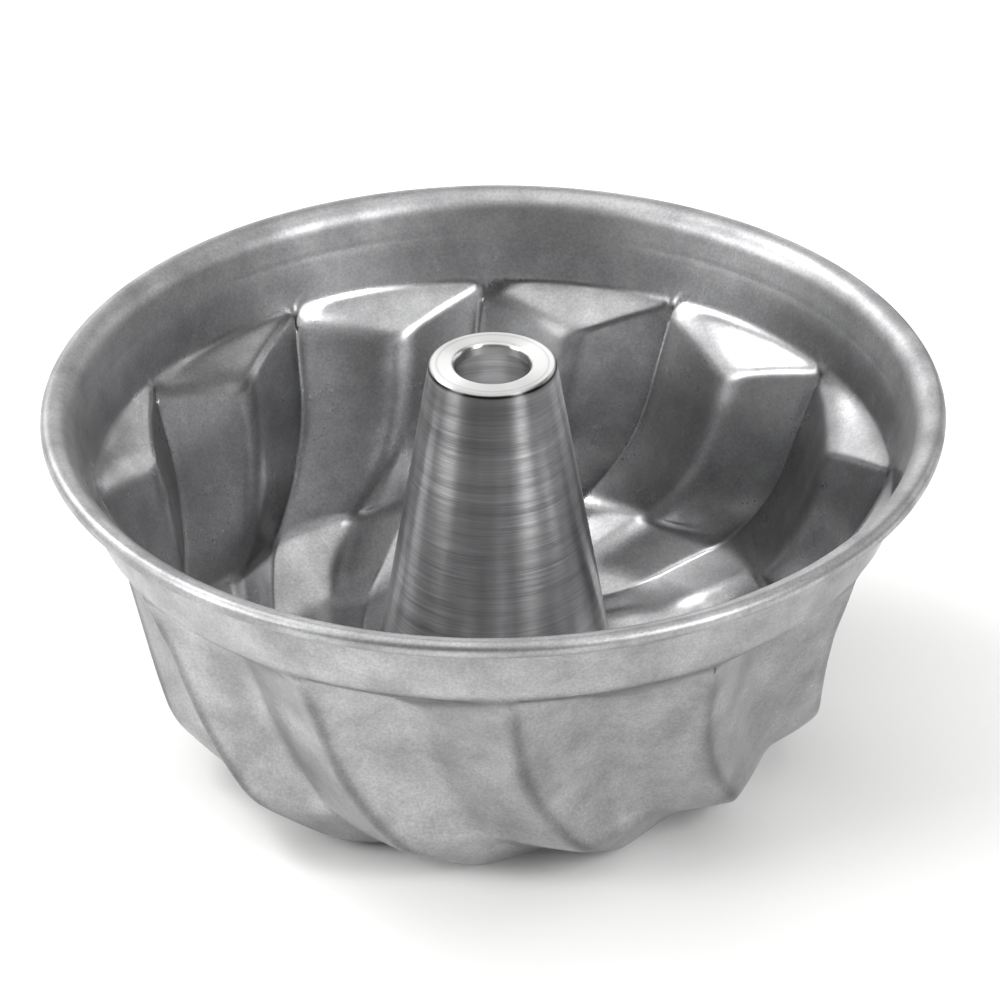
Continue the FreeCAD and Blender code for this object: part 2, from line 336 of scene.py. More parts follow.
def stations(path, spacing):
    """Distances along a path, no further apart than the spacing or an arc's step."""
    found = [0.0]
    for piece in path:
        length = piece_length(piece)
        count = math.ceil(length / spacing)
        if piece[0] == "arc":
            count = max(count, math.ceil(abs(piece[4]) / ARC_STEP))
        begun = found[-1]
        found += [begun + length * step / count for step in range(1, count + 1)]
    return np.array(found)


def eased(share):
    share = np.clip(share, 0, 1)
    return share * share * (3 - 2 * share)


def bump_of(away, width):
    """1 on a line and falling smoothly to 0 beside it."""
    return np.exp(-(away / width) ** 2)


# ---- Meshes

def sheet_mesh(name, inner, outer):
    """A closed mesh of a sheet from grids of points on its two faces, closed round the axis."""
    rows, columns = inner.shape[:2]
    points = np.concatenate([inner.reshape(-1, 3), outer.reshape(-1, 3)])
    index = np.arange(2 * rows * columns).reshape(2, rows, columns)
    index = np.concatenate([index, index[:, :, :1]], axis=2)
    inside, outside = index
    quads = [
        np.stack([inside[:-1, :-1], inside[:-1, 1:], inside[1:, 1:], inside[1:, :-1]], axis=-1),
        np.stack([outside[:-1, :-1], outside[1:, :-1], outside[1:, 1:], outside[:-1, 1:]], axis=-1),
        np.stack([inside[0, :-1], outside[0, :-1], outside[0, 1:], inside[0, 1:]], axis=-1),
        np.stack([inside[-1, :-1], inside[-1, 1:], outside[-1, 1:], outside[-1, :-1]], axis=-1),
    ]
    faces = np.concatenate([part.reshape(-1, 4) for part in quads])
    mesh = bpy.data.meshes.new(name)
    mesh.vertices.add(len(points))
    mesh.vertices.foreach_set("co", points.ravel())
    mesh.loops.add(faces.size)
    mesh.loops.foreach_set("vertex_index", faces.ravel())
    mesh.polygons.add(len(faces))
    mesh.polygons.foreach_set("loop_start", np.arange(0, faces.size, 4))
    mesh.update(calc_edges=True)
    mesh.validate()
    mesh.shade_smooth()
    mesh.set_sharp_from_angle(angle=SHARP_ANGLE)
    return mesh


def shown_piece(name, mesh, material, node):
    """The finished piece in place of its design node."""
    piece = bpy.data.objects.new(name, mesh)
    bpy.context.scene.collection.objects.link(piece)
    mesh.materials.append(material)
    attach(piece, "root")
    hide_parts(node)
    return piece


# ---- The pressed shell

class FlutedSheet:
    """The middle surface of the pressed sheet, from the curl's edge to the hole in the floor."""

    def __init__(self, shell, tube):
        self.shell = shell
        self.hole_radius = throat_radius(shell, tube) + tube.sheet / 2 + THROAT_SLACK
        self.seat_radius = throat_radius(shell, tube) + FLANGE_REACH + SEAT_MARGIN
        corners = self.groove_corners()
        self.groove = rounded_path(corners)
        self.rim = self.rim_path(corners[0][:2])
        self.length = path_length(self.groove)
        self.wall_foot = sum(math.dist(a[:2], b[:2]) for a, b in zip(corners[:3], corners[1:4]))
        self.turn_places = np.linspace(0, self.length, LEAN_STEPS + 1)
        self.turns = self.groove_turns()
        self.dents = self.dent_waves()

    def groove_corners(self):
        rim_radius = self.shell.rim_radius
        foot_radius = rim_radius - COLLAR_FOOT_INSET
        foot_height = RIM_LINE - COLLAR_DEPTH
        lap_drop = COLLAR_LAP / math.hypot(1, COLLAR_SLOPE)
        heel_radius = rim_radius - HEEL_INSET
        floor_radius = self.seat_radius + FLOOR_SHARE * (heel_radius - self.seat_radius)
        foot, knee, wall_foot, heel, floor, seat = SECTION_ROUNDS
        return [
            (foot_radius + COLLAR_SLOPE * lap_drop, foot_height + lap_drop, 0),
            (foot_radius, foot_height, foot),
            (foot_radius - WALL_KNEE_INSET, foot_height - WALL_KNEE_DROP, knee),
            (rim_radius - WALL_FOOT_INSET, RIM_LINE - WALL_FOOT_DROP, wall_foot),
            (heel_radius, RIM_LINE - HEEL_DROP, heel),
            (floor_radius, RIM_LINE - FLOOR_DROP, floor),
            (self.seat_radius + seat / 2, RIM_LINE - SEAT_DROP, seat),
            (self.hole_radius, RIM_LINE - SEAT_DROP, 0),
        ]

    def rim_path(self, start):
        """From the top of the flutes' section up the collar, out and round the wire."""
        curl_radius = self.shell.wire_radius + self.shell.sheet / 2
        curl_centre = (self.shell.rim_radius - curl_radius - self.shell.sheet / 2, RIM_LINE)
        lean = math.hypot(1, COLLAR_SLOPE)
        up = (COLLAR_SLOPE / lean, 1 / lean)
        out = (up[1], -up[0])
        bend_reach = FLARE_RADIUS - curl_radius
        aside = shifted(start, out, FLARE_RADIUS)
        aside = (aside[0] - curl_centre[0], aside[1] - curl_centre[1])
        along = aside[0] * up[0] + aside[1] * up[1]
        rise = -along - math.sqrt(along ** 2 - aside[0] ** 2 - aside[1] ** 2 + bend_reach ** 2)
        flare_start = shifted(start, up, rise)
        flare_centre = shifted(flare_start, out, FLARE_RADIUS)
        curl_start = direction(flare_centre, curl_centre)
        return [
            line_piece(start, flare_start),
            arc_piece(flare_centre, FLARE_RADIUS, direction(flare_centre, flare_start), curl_start),
            ("arc", curl_centre, curl_radius, curl_start, -CURL_SWEEP),
        ]

    def groove_turns(self):
        """Angle that a groove has turned through at each of the turn places."""
        middles = (self.turn_places[1:] + self.turn_places[:-1]) / 2
        start = COLLAR_LAP + LEAN_START
        share = (middles - start) / (self.wall_foot + LEAN_END - start)
        lean = self.shell.wall_lean + (self.shell.floor_lean - self.shell.wall_lean) * eased(share)
        lean[middles < COLLAR_LAP] = 0
        radius = along_path(self.groove, middles)[0]
        steps = lean * np.diff(self.turn_places) / radius
        return np.concatenate([[0], np.cumsum(steps)])

    def dent_waves(self):
        """Wave numbers, directions and phases whose sum makes the soft dents."""
        chance = np.random.default_rng(DENT_SEED)
        waves = []
        for size in DENT_SIZES:
            for _ in range(DENT_WAVES):
                way = chance.normal(size=3)
                way /= np.linalg.norm(way)
                waves.append((way * 2 * math.pi / size, chance.uniform(0, 2 * math.pi), size))
        return waves

    def section(self, places):
        """Radius, height and the normal towards the inside of the pan."""
        radius, height, normal = along_path(self.groove, np.maximum(places, 0))
        rim_radius, rim_height, rim_normal = along_path(self.rim, np.maximum(-places, 0))
        on_rim = places < 0
        radius = np.where(on_rim, rim_radius, radius)
        height = np.where(on_rim, rim_height, height)
        return radius, height, np.where(on_rim, rim_normal, -normal)

    def wave(self, share, radius):
        """0 in a groove and 1 on a ridge, straight between them, with rounded creases."""
        pitches = self.shell.flutes / (2 * math.pi * radius)
        groove_half = np.minimum(GROOVE_HALF_WIDTH * pitches, WIDEST_ROUNDING)
        ridge_half = np.minimum(RIDGE_HALF_WIDTH * pitches, WIDEST_ROUNDING)
        rise = 1 / RIDGE_SHARE
        fall = 1 / (1 - RIDGE_SHARE)
        past_groove = share - (share >= 0.5)
        past_ridge = share - RIDGE_SHARE
        straight = np.where(past_ridge < 0, share * rise, (1 - share) * fall)
        in_groove = rise * (past_groove + groove_half) ** 2 + fall * (groove_half - past_groove) ** 2
        on_ridge = rise * (ridge_half - past_ridge) ** 2 + fall * (past_ridge + ridge_half) ** 2
        height = np.where(abs(past_ridge) < ridge_half, 1 - on_ridge / (4 * ridge_half), straight)
        return np.where(abs(past_groove) < groove_half, in_groove / (4 * groove_half), height)

    def shoulder(self, places):
        """Share of the relief that the sloping shoulder under the collar allows."""
        down = places - COLLAR_LAP
        start = np.maximum(down + SHOULDER_ROUND, 0) ** 2 / (4 * SHOULDER_ROUND * SHOULDER_RUN)
        return np.where(down < SHOULDER_ROUND, start, down / SHOULDER_RUN)

    def relief(self, places, radius):
        """Height of a ridge above the grooves beside it."""
        bend_start = self.wall_foot - RELIEF_BLEND
        bend_end = self.wall_foot + RELIEF_BLEND
        upper = eased((places - bend_start) / (bend_end - bend_start))
        lower = np.clip((places - bend_end) / (self.length - bend_end), 0, 1)
        height = self.shell.relief + (FLOOR_RELIEF - self.shell.relief) * upper
        height = height + (SEAT_RELIEF - FLOOR_RELIEF) * lower
        return height * eased((radius - self.seat_radius) / RELIEF_FADE)

    def flute_height(self, flutes, places, radius):
        share = flutes % 1.0
        flank = self.wave(share, radius)
        shoulder = self.shoulder(places)
        change = eased((share - RIDGE_SHARE) / CREASE_CHANGE + 0.5)
        crease = CRISP_CREASE + (SOFT_CREASE - CRISP_CREASE) * change
        width = np.minimum(crease, flank + shoulder)
        overlap = np.maximum(width - abs(flank - shoulder), 0) / np.maximum(width, PROBE)
        height = np.minimum(flank, shoulder) - overlap ** 2 * width / 4
        return height * self.relief(places, radius)

    def groove_distance(self, flutes, radius):
        """Distance round from the nearest groove, positive anticlockwise from above."""
        return (flutes - np.round(flutes)) * 2 * math.pi * radius / self.shell.flutes

    def pressing_marks(self, flutes, places, radius, points):
        """Puckers above each groove, its pinched crest, the draw line under the rim and dents."""
        up = COLLAR_LAP + SHOULDER_ROUND - places
        reach = np.clip(up / PUCKER_RUN, 0, 1)
        aside = self.groove_distance(flutes, radius)
        branch = bump_of(abs(aside) - PUCKER_SPREAD * reach ** PUCKER_FLARE, PUCKER_WIDTH)
        height = PUCKER_HEIGHT * branch * eased(reach / PUCKER_STARTS) * eased((1 - reach) / PUCKER_ENDS)
        height = height - DRAW_LINE_HEIGHT * bump_of(places - DRAW_LINE_PLACE, DRAW_LINE_WIDTH)
        bead = bump_of(aside, GROOVE_BEAD_WIDTH) * eased((places - COLLAR_LAP) / SHOULDER_RUN)
        height = height - GROOVE_BEAD_HEIGHT * bead * eased((self.wall_foot - places) / SHOULDER_RUN)
        soft = sum(size * np.sin(points @ wave + phase) for wave, phase, size in self.dents)
        soft = soft / sum(size for _, _, size in self.dents)
        span = eased(places / COLLAR_LAP + 1) * eased((radius - self.seat_radius) / RELIEF_FADE)
        return height + self.shell.dents * soft * span

    def painted_groove_shade(self, flutes, places):
        """Painted shade: where the sheet's colour is darkened, along the grooves and under the collar."""
        aside = self.groove_distance(flutes, self.section(places)[0])
        wall = eased((places - COLLAR_LAP) / SHOULDER_RUN)
        wall = wall * eased((self.wall_foot - places) / SHOULDER_RUN + 1)
        groove = bump_of(aside - SHADE_ASIDE, SHADE_WIDTH) * wall
        foot = bump_of(places - COLLAR_LAP - SHADE_ASIDE, SHADE_WIDTH)
        return np.maximum(groove, foot)

    def middle(self, flutes, places):
        """Points on the middle of the sheet, pitches round from the first groove."""
        radius, level, normal = self.section(places)
        turned = FIRST_GROOVE + np.interp(places, self.turn_places, self.turns)
        angle = turned + flutes * 2 * math.pi / self.shell.flutes
        height = self.flute_height(flutes, places, radius)
        flat = np.stack([radius * np.cos(angle), radius * np.sin(angle), level], axis=-1)
        height = height + self.pressing_marks(flutes, places, radius, flat)
        radius = radius + normal[0] * height
        level = level + normal[1] * height
        return np.stack([radius * np.cos(angle), radius * np.sin(angle), level], axis=-1)

    def faces(self, flutes, places):
        """Grids of points on the inner and the outer face of the sheet."""
        middle = self.middle(flutes, places)
        along = self.middle(flutes, places + PROBE) - self.middle(flutes, places - PROBE)
        around = self.middle(flutes + PROBE_SHARE, places) - self.middle(flutes - PROBE_SHARE, places)
        inward = np.cross(around, along)
        inward *= self.shell.sheet / 2 / np.linalg.norm(inward, axis=-1, keepdims=True)
        return middle + inward, middle - inward


def lay_values(mesh, name, inner, outer):
    """A value for each point of a sheet's mesh, for its material to read."""
    values = np.concatenate([inner.ravel(), outer.ravel()])
    mesh.attributes.new(name, "FLOAT", "POINT").data.foreach_set("value", values)


def flute_columns():
    """Places across one flute, closer together at its groove and its ridge."""
    share = np.linspace(0, 1, COLUMN_SAMPLES)
    groove = bump_of(np.minimum(share, 1 - share), COLUMN_PULL_WIDTH)
    ridge = bump_of(share - RIDGE_SHARE, COLUMN_PULL_WIDTH)
    density = 1 + GROOVE_COLUMN_PULL * groove + RIDGE_COLUMN_PULL * ridge
    total = np.concatenate([[0], np.cumsum((density[1:] + density[:-1]) / 2)])
    wanted = np.arange(COLUMNS_PER_FLUTE) / COLUMNS_PER_FLUTE * total[-1]
    return np.interp(wanted, total, share)


def lay_blank_map(mesh, flutes, places, sheet):
    """A map of where each point lay on the flat blank before it was pressed, in metres."""
    radius = sheet.hole_radius + sheet.length - places
    angle = FIRST_GROOVE + flutes * 2 * math.pi / sheet.shell.flutes
    flat = np.stack([radius * np.cos(angle), radius * np.sin(angle)], axis=-1).reshape(-1, 2)
    flat = np.concatenate([flat, flat])
    corners = np.zeros(len(mesh.loops), dtype=np.int32)
    mesh.loops.foreach_get("vertex_index", corners)
    mesh.uv_layers.new(name="blank").data.foreach_set("uv", flat[corners].ravel())


def make_pressed_shell(shell, tube, finish):
    sheet = FlutedSheet(shell, tube)
    rim_rows = -stations(sheet.rim, SHELL_ROW)[:0:-1]
    rows = np.concatenate([rim_rows, stations(sheet.groove, SHELL_ROW)])
    columns = np.concatenate([flute_columns() + flute for flute in range(shell.flutes)])
    flutes, places = np.meshgrid(columns, rows)
    mesh = sheet_mesh("pressed_shell", *sheet.faces(flutes, places))
    lay_blank_map(mesh, flutes, places, sheet)
    # Painted shade along the grooves and under the collar, weaker inside the pan
    shade_mask = sheet.painted_groove_shade(flutes, places)
    lay_values(mesh, "painted_groove_shade", INNER_SHADE * shade_mask, shade_mask)
    matt = eased(-(places + MATT_START) / MATT_FADE)
    lay_values(mesh, "matt", matt, matt)
    material = pressed_aluminium(finish)
    return shown_piece("pressed_shell", mesh, material, "fluted_shell")


# ---- The spun tube

def fold_radius(tube):
    return (tube.sheet + FOLD_GAP) / 2


def upper_layer(shell, tube):
    """Level of the fold's upper layer, which rests on the lower one and that on the floor."""
    return RIM_LINE - SEAT_DROP + (shell.sheet + tube.sheet) / 2 + 2 * fold_radius(tube)


def cone_top_radius(tube):
    return tube.top_radius + tube.sheet / 2 * (tube.slope - math.hypot(1, tube.slope))


def throat_radius(shell, tube):
    drop = tube.top - tube.sheet / 2 - upper_layer(shell, tube)
    return cone_top_radius(tube) + tube.slope * drop


def tube_path(shell, tube):
    """From the hole's lip over the top, down the cone and round the fold to the flange."""
    lip_radius = tube.hole_radius + tube.sheet / 2
    top_level = tube.top - tube.sheet / 2
    throat = throat_radius(shell, tube)
    upper = upper_layer(shell, tube)
    fold = fold_radius(tube)
    lower = upper - 2 * fold
    flange_level = RIM_LINE - SEAT_DROP - (shell.sheet + tube.sheet) / 2
    return rounded_path([
        (lip_radius, tube.top - tube.lip_depth, 0),
        (lip_radius, top_level, LIP_BEND),
        (cone_top_radius(tube), top_level, TOP_BEND),
        (throat, upper, FOOT_BEND),
        (throat + FOLD_REACH, upper, fold),
        (throat + FOLD_REACH, lower, fold),
        (throat, lower, THROAT_BEND),
        (throat, flange_level, THROAT_BEND),
        (throat + FLANGE_REACH, flange_level, 0),
    ])


def make_spun_tube(shell, tube, finish):
    path = tube_path(shell, tube)
    rows = stations(path, TUBE_ROW)
    radius, height, normal = along_path(path, rows)
    before_cone, cone = path[:4], path[4]
    cone_start = path_length(before_cone)
    cone_end = cone_start + piece_length(cone)
    on_cone = eased((rows - cone_start) / WAVE_FADE) * eased((cone_end - rows) / WAVE_FADE)
    waves = sum(share * np.sin(2 * math.pi * rows / size + size / MM) for size, share in ROLLER_WAVES)
    ripple = ROLLER_WAVE_HEIGHT * waves * on_cone
    angles = np.arange(TUBE_COLUMNS) * 2 * math.pi / TUBE_COLUMNS
    grids = []
    for offset in (-tube.sheet / 2, tube.sheet / 2):
        ring_radius = radius + normal[0] * (offset + ripple)
        ring_height = height + normal[1] * (offset + ripple)
        grids.append(np.stack([
            np.outer(ring_radius, np.cos(angles)),
            np.outer(ring_radius, np.sin(angles)),
            np.outer(ring_height, np.ones(TUBE_COLUMNS)),
        ], axis=-1))
    mesh = sheet_mesh("spun_tube", *grids)
    # The faced top, painted lighter than the cone as a painted highlight
    on_top = eased((cone_start - rows) / FACED_FADE)
    # Painted shade: a dark line round the bend at the top's edge, and a fainter dark line on the flat top
    edge_shade_line = bump_of(rows - cone_start + FACED_FADE / 2, EDGE_SHADE_WIDTH)
    inner_line = bump_of(rows - cone_start + INNER_LINE_PLACE, EDGE_SHADE_WIDTH / 2)
    line = edge_shade_line + INNER_LINE_STRENGTH * inner_line
    for name, along in (("faced_highlight", on_top), ("edge_shade_and_inner_line", line)):
        around = np.outer(along, np.ones(TUBE_COLUMNS))
        lay_values(mesh, name, around, around)
    material = spun_aluminium(finish)
    return shown_piece("spun_tube", mesh, material, "centre_tube")


# ---- Materials

# Inputs and output of a colour mix node, whose names repeat
MIX_A, MIX_B, MIX_COLOUR = 6, 7, 2
# Sizes of the patterns in millimetres
ROLLING_MARKS = (22, 0.7, 1)
FINE_RINGS = (26, 26, 0.34)
BROAD_BANDS = (40, 40, 2.6)
GRAIN_SIZE = 0.8 * MM
CLOUD_SIZE = 14 * MM
PIT_SIZE = 1.3 * MM
SPANGLE_SIZE = 1.5 * MM
# Heights of the bumps too fine for the meshes
PRESSED_BUMP = 0.012 * MM
SPUN_BUMP = 0.004 * MM
# Shares by which the roughness changes
PATCH_ROUGHENING = 0.05
MATT_ROUGHENING = 0.15


def add_node(tree, kind, inputs=(), **settings):
    """A node with its settings, whose inputs are values or other nodes' output sockets."""
    node = tree.nodes.new(kind)
    for name, value in settings.items():
        setattr(node, name, value)
    for name, value in dict(inputs).items():
        if isinstance(value, bpy.types.NodeSocket):
            tree.links.new(value, node.inputs[name])
        else:
            node.inputs[name].default_value = value
    return node


def new_material(name):
    material = bpy.data.materials.new(name)
    material.use_nodes = True
    material.node_tree.nodes.clear()
    return material, material.node_tree


def per_size(x, y, z):
    """Mapping scale that makes one unit of a pattern as large as these millimetres."""
    return (1 / (x * MM), 1 / (y * MM), 1 / (z * MM))


def pressed_aluminium(finish):
    """Bare aluminium sheet, rolled and then deep drawn. Drawing leaves it satin and slightly
    mottled, the rolling marks run straight across the flat blank and fine pits take a speck of
    dirt. Painted shade darkens the colour beside the grooves and under the collar. The collar is
    the most worked part and the mattest. So its reflections are soft and a little grainy."""
    material, tree = new_material("drawn_aluminium_sheet")
    blank = add_node(tree, "ShaderNodeUVMap", uv_map="blank").outputs["UV"]
    place = add_node(tree, "ShaderNodeTexCoord").outputs["Object"]
    rolled = add_node(tree, "ShaderNodeMapping", {"Vector": blank, "Scale": per_size(*ROLLING_MARKS)})
    rolling = add_node(tree, "ShaderNodeTexNoise", {
        "Vector": rolled.outputs[0], "Scale": 1.0, "Detail": 4.0, "Roughness": 0.6})
    grain = add_node(tree, "ShaderNodeTexNoise", {
        "Vector": place, "Scale": 1 / GRAIN_SIZE, "Detail": 3.0, "Roughness": 0.7})
    cloud = add_node(tree, "ShaderNodeTexNoise", {
        "Vector": place, "Scale": 1 / CLOUD_SIZE, "Detail": 5.0, "Roughness": 0.55})
    pits = add_node(tree, "ShaderNodeTexNoise", {
        "Vector": place, "Scale": 1 / PIT_SIZE, "Detail": 1.0, "Roughness": 0.4})
    pit = add_node(tree, "ShaderNodeMapRange", {
        "Value": pits.outputs["Fac"], "From Min": 0.85, "From Max": 0.90})
    patch = add_node(tree, "ShaderNodeMapRange", {
        "Value": cloud.outputs["Fac"], "From Min": 0.34, "From Max": 0.66})
    tone = add_node(tree, "ShaderNodeMix", {
        "Factor": patch.outputs[0], MIX_A: (*finish.pressed, 1), MIX_B: (*finish.pressed_stain, 1)},
        data_type="RGBA")
    speckle = add_node(tree, "ShaderNodeMapRange", {
        "Value": grain.outputs["Fac"], "From Min": 0.3, "From Max": 0.7, "To Min": 0.80, "To Max": 1.12})
    grained = add_node(tree, "ShaderNodeMix", {
        "Factor": 1.0, MIX_A: tone.outputs[MIX_COLOUR], MIX_B: speckle.outputs[0]},
        data_type="RGBA", blend_type="MULTIPLY")
    colour = add_node(tree, "ShaderNodeMix", {
        "Factor": pit.outputs[0], MIX_A: grained.outputs[MIX_COLOUR], MIX_B: (*finish.dirt, 1)},
        data_type="RGBA")
    # Painted shade: the colour is darkened beside the grooves and under the collar
    shade_mask = add_node(tree, "ShaderNodeAttribute", attribute_name="painted_groove_shade")
    shaded = add_node(tree, "ShaderNodeMapRange", {
        "Value": shade_mask.outputs["Fac"], "To Min": 1.0, "To Max": 0.56})
    shown = add_node(tree, "ShaderNodeMix", {
        "Factor": 1.0, MIX_A: colour.outputs[MIX_COLOUR], MIX_B: shaded.outputs[0]},
        data_type="RGBA", blend_type="MULTIPLY")
    patchy = add_node(tree, "ShaderNodeMapRange", {
        "Value": cloud.outputs["Fac"], "From Min": 0.3, "From Max": 0.7,
        "To Min": finish.pressed_roughness - PATCH_ROUGHENING,
        "To Max": finish.pressed_roughness + PATCH_ROUGHENING})
    matt = add_node(tree, "ShaderNodeAttribute", attribute_name="matt")
    dull = add_node(tree, "ShaderNodeMath", {
        0: matt.outputs["Fac"], 1: MATT_ROUGHENING, 2: patchy.outputs[0]}, operation="MULTIPLY_ADD")
    texture = add_node(tree, "ShaderNodeMath", {
        0: rolling.outputs["Fac"], 1: 0.7, 2: grain.outputs["Fac"]}, operation="MULTIPLY_ADD")
    relief = add_node(tree, "ShaderNodeBump", {
        "Height": texture.outputs[0], "Strength": 1.0, "Distance": PRESSED_BUMP})
    shader = add_node(tree, "ShaderNodeBsdfPrincipled", {
        "Base Color": shown.outputs[MIX_COLOUR], "Metallic": 1.0, "Roughness": dull.outputs[0],
        "Normal": relief.outputs[0]})
    add_node(tree, "ShaderNodeOutputMaterial", {"Surface": shader.outputs[0]})
    return material


def spun_aluminium(finish):
    """Bare aluminium spun over a former. The roller and the polishing pad leave fine rings,
    so a highlight is drawn out across them into a bright band down the cone. The flat top is
    faced and painted lighter than the cone as a painted highlight. A dark line of painted shade runs round
    the bend at its edge, and a fainter dark line lies just inside it on the flat top."""
    material, tree = new_material("spun_aluminium_sheet")
    place = add_node(tree, "ShaderNodeTexCoord").outputs["Object"]
    fine = add_node(tree, "ShaderNodeMapping", {"Vector": place, "Scale": per_size(*FINE_RINGS)})
    rings = add_node(tree, "ShaderNodeTexNoise", {
        "Vector": fine.outputs[0], "Scale": 1.0, "Detail": 3.0, "Roughness": 0.7})
    broad = add_node(tree, "ShaderNodeMapping", {"Vector": place, "Scale": per_size(*BROAD_BANDS)})
    bands = add_node(tree, "ShaderNodeTexNoise", {
        "Vector": broad.outputs[0], "Scale": 1.0, "Detail": 3.0, "Roughness": 0.5})
    tone = add_node(tree, "ShaderNodeMix", {
        "Factor": bands.outputs["Fac"], MIX_A: (*finish.spun, 1), MIX_B: (*finish.spun_stain, 1)},
        data_type="RGBA")
    scratch = add_node(tree, "ShaderNodeMapRange", {
        "Value": rings.outputs["Fac"], "From Min": 0.35, "From Max": 0.65, "To Min": 0.82, "To Max": 1.14})
    ringed = add_node(tree, "ShaderNodeMix", {
        "Factor": 1.0, MIX_A: tone.outputs[MIX_COLOUR], MIX_B: scratch.outputs[0]},
        data_type="RGBA", blend_type="MULTIPLY")
    # Faced top, painted lighter than the cone as a painted highlight
    faced_highlight = add_node(tree, "ShaderNodeAttribute", attribute_name="faced_highlight")
    bright = add_node(tree, "ShaderNodeMix", {
        "Factor": faced_highlight.outputs["Fac"], MIX_A: ringed.outputs[MIX_COLOUR],
        MIX_B: (*finish.faced_highlight, 1)}, data_type="RGBA")
    # Painted shade at the top's bend, and the fainter dark line inside it
    edge = add_node(tree, "ShaderNodeAttribute", attribute_name="edge_shade_and_inner_line")
    colour = add_node(tree, "ShaderNodeMix", {
        "Factor": edge.outputs["Fac"], MIX_A: bright.outputs[MIX_COLOUR],
        MIX_B: (*finish.edge_shade_line, 1)}, data_type="RGBA")
    dull = add_node(tree, "ShaderNodeMapRange", {
        "Value": rings.outputs["Fac"], "From Min": 0.3, "From Max": 0.7,
        "To Min": finish.spun_roughness - 0.02, "To Max": finish.spun_roughness + 0.03})
    relief = add_node(tree, "ShaderNodeBump", {
        "Height": rings.outputs["Fac"], "Strength": 1.0, "Distance": SPUN_BUMP})
    around = add_node(tree, "ShaderNodeTangent", direction_type="RADIAL", axis="Z")
    shader = add_node(tree, "ShaderNodeBsdfPrincipled", {
        "Base Color": colour.outputs[MIX_COLOUR], "Metallic": 1.0, "Roughness": dull.outputs[0],
        "Anisotropic": 0.85, "Anisotropic Rotation": 0.25, "Tangent": around.outputs[0],
        "Normal": relief.outputs[0]})
    add_node(tree, "ShaderNodeOutputMaterial", {"Surface": shader.outputs[0]})
    return material


def zinced_wire(finish):
    """Drawn steel wire with a dull zinc coat: soft grey, with faint crystals of zinc."""
    material, tree = new_material("zinc_coated_steel_wire")
    place = add_node(tree, "ShaderNodeTexCoord").outputs["Object"]
    spangle = add_node(tree, "ShaderNodeTexVoronoi", {"Vector": place, "Scale": 1 / SPANGLE_SIZE})
    dull = add_node(tree, "ShaderNodeMapRange", {
        "Value": spangle.outputs["Distance"], "To Min": 0.38, "To Max": 0.55})
    shader = add_node(tree, "ShaderNodeBsdfPrincipled", {
        "Base Color": (*finish.wire, 1), "Metallic": 1.0, "Roughness": dull.outputs[0]})
    add_node(tree, "ShaderNodeOutputMaterial", {"Surface": shader.outputs[0]})
    return material


def painted_floor(stage):
    """Matt white painted board: pale and even, with no gloss of its own."""
    material, tree = new_material("matt_white_board")
    shader = add_node(tree, "ShaderNodeBsdfPrincipled", {
        "Base Color": (*stage.floor, 1), "Roughness": 0.9, "Specular IOR Level": 0.1})
    add_node(tree, "ShaderNodeOutputMaterial", {"Surface": shader.outputs[0]})
    return material


# ---- The stage

FLOOR_RADIUS = 4.0
FLOOR_SIDES = 96
RIM_CENTRE = Vector((0, 0, RIM_LINE))
# Softboxes: direction from the pan (degrees anticlockwise from +X), angle above the floor,
# distance, width, height and brightness. White is 1, so large ones are near it and a small
# one is brighter. The front is left dark, which gives the walls their depth, and a small one
# under the pan shines up the tube.
SOFTBOXES = {
    "key_softbox": (146, 44, 1.8, 0.6, 0.6, 13.0),
    "top_softbox": (-90, 86, 1.5, 2.1, 1.9, 1.5),
    "back_softbox": (108, 24, 2.1, 3.6, 1.5, 1.5),
    "left_softbox": (182, 30, 2.0, 1.8, 1.3, 1.5),
    "right_softbox": (30, 22, 2.2, 1.8, 1.3, 1.3),
    "right_strip": (-44, 30, 1.6, 0.40, 0.9, 14.0),
    "left_strip": (202, 24, 1.6, 0.6, 0.8, 8.0),
    "tube_softbox": (0, -90, 0.085, 0.03, 0.03, 4.0),
}


def make_floor(stage):
    angles = np.arange(FLOOR_SIDES) * 2 * math.pi / FLOOR_SIDES
    ring = [(FLOOR_RADIUS * math.cos(a), FLOOR_RADIUS * math.sin(a), 0) for a in angles]
    mesh = bpy.data.meshes.new("studio_floor")
    mesh.from_pydata(ring, [], [list(range(FLOOR_SIDES))])
    mesh.materials.append(painted_floor(stage))
    floor = bpy.data.objects.new("studio_floor", mesh)
    bpy.context.scene.collection.objects.link(floor)


def make_softbox(name, azimuth, elevation, distance, width, height, brightness):
    light = bpy.data.lights.new(name, "AREA")
    light.shape = "RECTANGLE"
    light.size = width
    light.size_y = height
    light.energy = brightness * math.pi * width * height
    softbox = bpy.data.objects.new(name, light)
    side = math.cos(math.radians(elevation))
    turn = math.radians(azimuth)
    toward = Vector((side * math.cos(turn), side * math.sin(turn), math.sin(math.radians(elevation))))
    softbox.location = RIM_CENTRE + toward * distance
    softbox.rotation_euler = toward.to_track_quat("Z", "Y").to_euler()
    bpy.context.scene.collection.objects.link(softbox)


def make_surround(stage):
    world = bpy.data.worlds.new("studio_surround")
    world.use_nodes = True
    tree = world.node_tree
    tree.nodes.clear()
    glow = add_node(tree, "ShaderNodeBackground", {"Color": (*stage.surround, 1), "Strength": 1.0})
    add_node(tree, "ShaderNodeOutputWorld", {"Surface": glow.outputs[0]})
    bpy.context.scene.world = world


